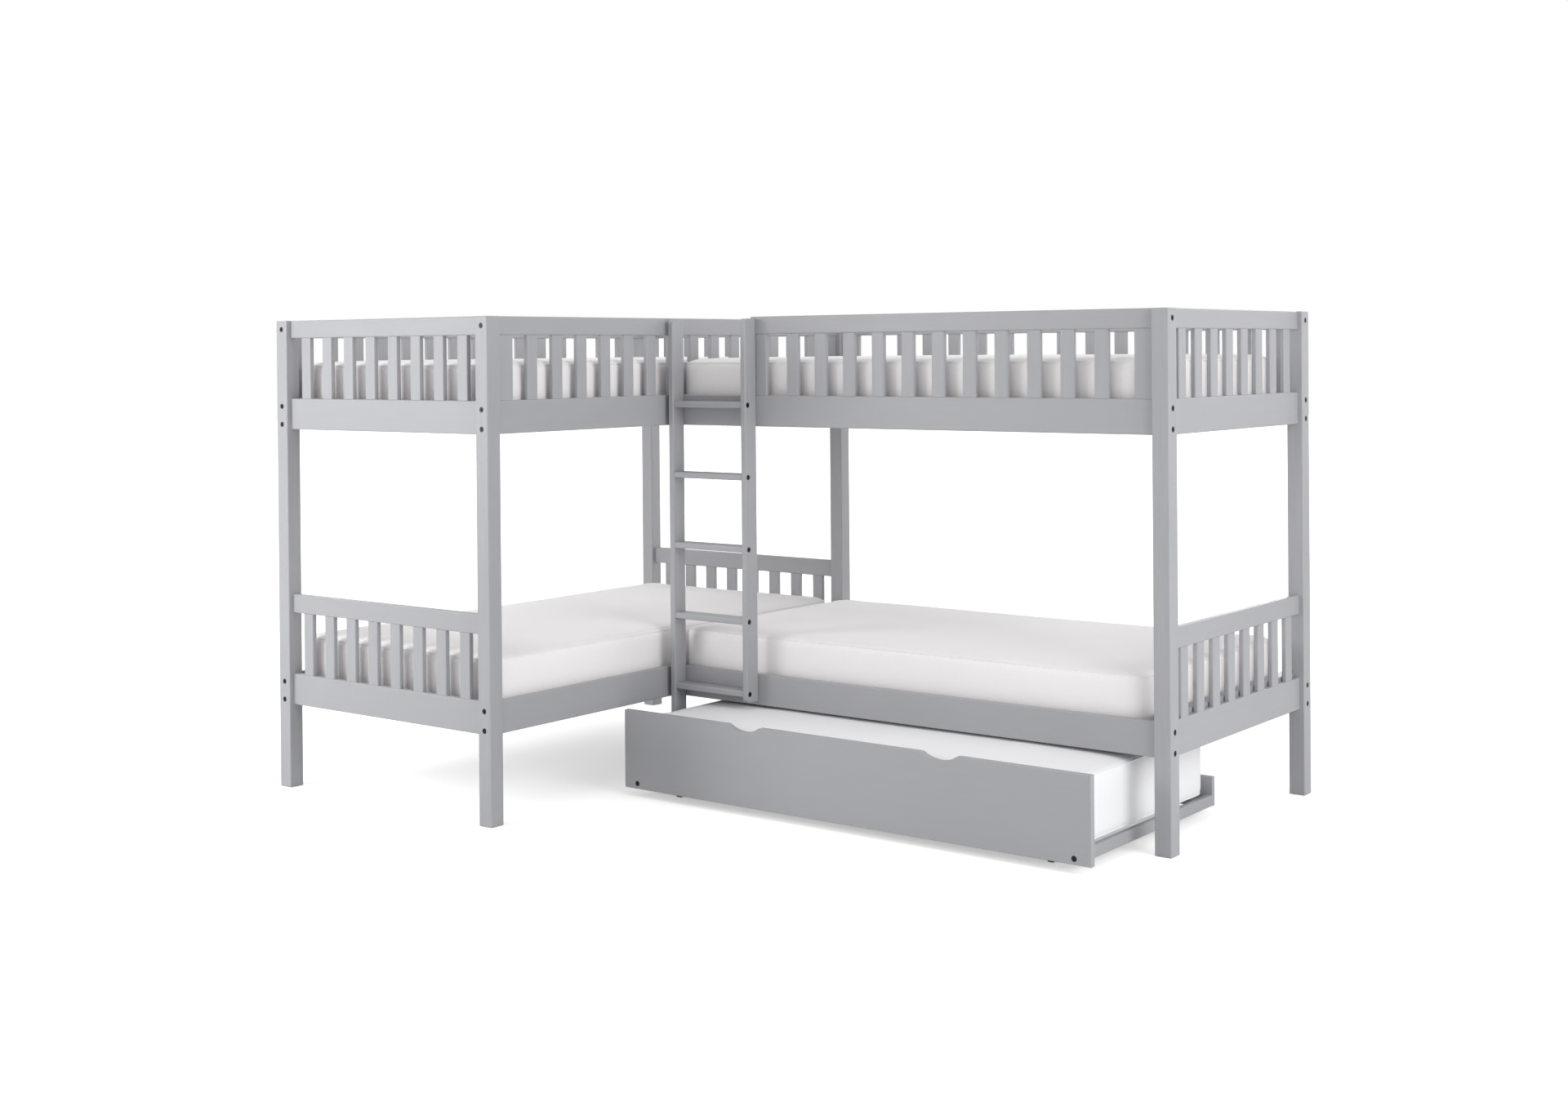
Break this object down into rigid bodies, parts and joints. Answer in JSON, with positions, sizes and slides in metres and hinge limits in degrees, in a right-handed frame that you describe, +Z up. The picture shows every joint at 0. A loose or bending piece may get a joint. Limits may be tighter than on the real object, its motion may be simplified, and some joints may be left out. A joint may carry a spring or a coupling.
{
  "type": "l shaped bunk bed with trundle",
  "caption": "L-shaped corner bunk bed with slatted guards and end panels, corner ladder, mattresses and a trundle that rolls out from under one bunk.",
  "frame": {"origin": "middle of the bed's floor plan, on the floor", "axes": "+X along the right bunk towards its foot, +Y towards the back along the left bunk, +Z up"},
  "size_m": [3.026, 2.012, 1.664],
  "materials": {
    "painted_wood": "satin light grey paint",
    "deck_wood": "satin grey paint",
    "mattress_fabric": "plain white woven cover",
    "black_bolts": "black oxide",
    "zinc_steel": "zinc plated",
    "wheel_plastic": "matt black rubber tread"
  },
  "bodies": {
    "bed": {"post_front_left": "painted_wood", "post_front_inner": "painted_wood", "post_back_left": "painted_wood", "post_back_inner": "painted_wood", "post_right_front": "painted_wood", "post_right_back": "painted_wood", "front_end_top_rail": "painted_wood", "front_end_middle_rail": "painted_wood", "front_end_lower_rail": "painted_wood", "front_end_bottom_rail": "painted_wood", "back_end_top_rail": "painted_wood", "back_end_middle_rail": "painted_wood", "back_end_lower_rail": "painted_wood", "back_end_bottom_rail": "painted_wood", "right_end_top_rail": "painted_wood", "right_end_middle_rail": "painted_wood", "right_end_lower_rail": "painted_wood", "right_end_bottom_rail": "painted_wood", "front_end_slats": "painted_wood", "back_end_slats": "painted_wood", "right_end_slats": "painted_wood", "outer_guard_rail": "painted_wood", "inner_guard_rail": "painted_wood", "front_guard_rail": "painted_wood", "back_guard_rail": "painted_wood", "outer_guard_slats": "painted_wood", "inner_guard_slats": "painted_wood", "front_guard_slats": "painted_wood", "back_guard_slats": "painted_wood", "outer_upper_side_rail": "painted_wood", "inner_upper_side_rail": "painted_wood", "front_upper_side_rail": "painted_wood", "back_upper_side_rail": "painted_wood", "outer_lower_side_rail": "painted_wood", "inner_lower_side_rail": "painted_wood", "front_lower_side_rail": "painted_wood", "back_lower_side_rail": "painted_wood", "deck_cleats": "deck_wood", "upper_deck_slats": "deck_wood", "lower_deck_slats": "deck_wood", "ladder_left_rail": "painted_wood", "ladder_right_rail": "painted_wood", "ladder_rungs": "painted_wood", "upper_left_mattress": "mattress_fabric", "upper_right_mattress": "mattress_fabric", "lower_left_mattress": "mattress_fabric", "lower_right_mattress": "mattress_fabric", "connector_bolts": "black_bolts", "barrel_nuts": "zinc_steel", "corner_brackets": "zinc_steel"},
    "trundle": {"trundle_mattress": "mattress_fabric", "trundle_front_panel": "painted_wood", "trundle_back_board": "painted_wood", "trundle_end_rails": "painted_wood", "trundle_deck_slats": "deck_wood", "trundle_bolts": "black_bolts", "caster_forks": "zinc_steel", "caster_axles": "zinc_steel"},
    "front_wheels": {"front_wheels": "wheel_plastic"},
    "back_wheels": {"back_wheels": "wheel_plastic"}
  },
  "joints": [
    {"name": "trundle_roll", "type": "slide", "parent": "bed", "child": "trundle", "axis": [0, -1, 0], "range_m": [-0.322, 0.6]},
    {"name": "front_wheel_spin", "type": "hinge", "parent": "trundle", "child": "front_wheels", "pos_m": [0.506, -0.311, 0.02], "axis": [1, 0, 0], "range_deg": [-925, 1725]},
    {"name": "back_wheel_spin", "type": "hinge", "parent": "trundle", "child": "back_wheels", "pos_m": [0.506, 0.451, 0.02], "axis": [1, 0, 0], "range_deg": [-925, 1725]}
  ],
  "couplings": [
    {"joint": "front_wheel_spin", "follows": "trundle_roll", "rad_per_m": 50},
    {"joint": "back_wheel_spin", "follows": "trundle_roll", "rad_per_m": 50}
  ]
}
